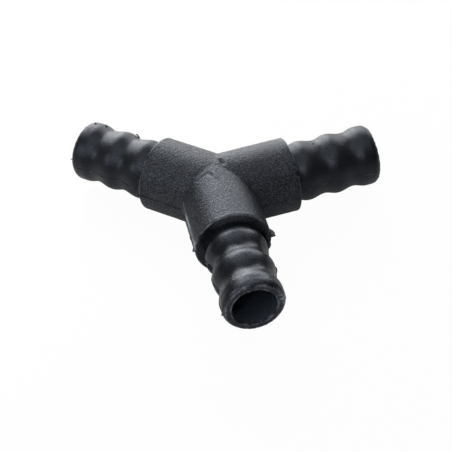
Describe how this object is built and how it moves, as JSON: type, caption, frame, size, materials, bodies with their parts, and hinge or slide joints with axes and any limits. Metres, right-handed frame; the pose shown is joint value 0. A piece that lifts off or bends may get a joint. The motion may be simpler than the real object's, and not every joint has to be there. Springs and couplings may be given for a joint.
{
  "type": "tubing y connector",
  "caption": "One-piece black plastic Y connector that joins three hoses: a stem and two branches, each with a thick sleeve, a shoulder and a ringed hose tail.",
  "frame": {"origin": "the point where the axes of the three arms cross", "axes": "+Z is normal to the plane of the three arms and points up as the fitting lies flat; the stem runs along -X and the two branches lean towards +X, one on each side of it"},
  "size_m": [0.0648, 0.0634, 0.017],
  "materials": {
    "moulded_plastic": "fine spark-eroded grain on the sleeves, smoother satin on the hose tails"
  },
  "bodies": {
    "root": {"y_connector": "moulded_plastic"}
  },
  "joints": []
}
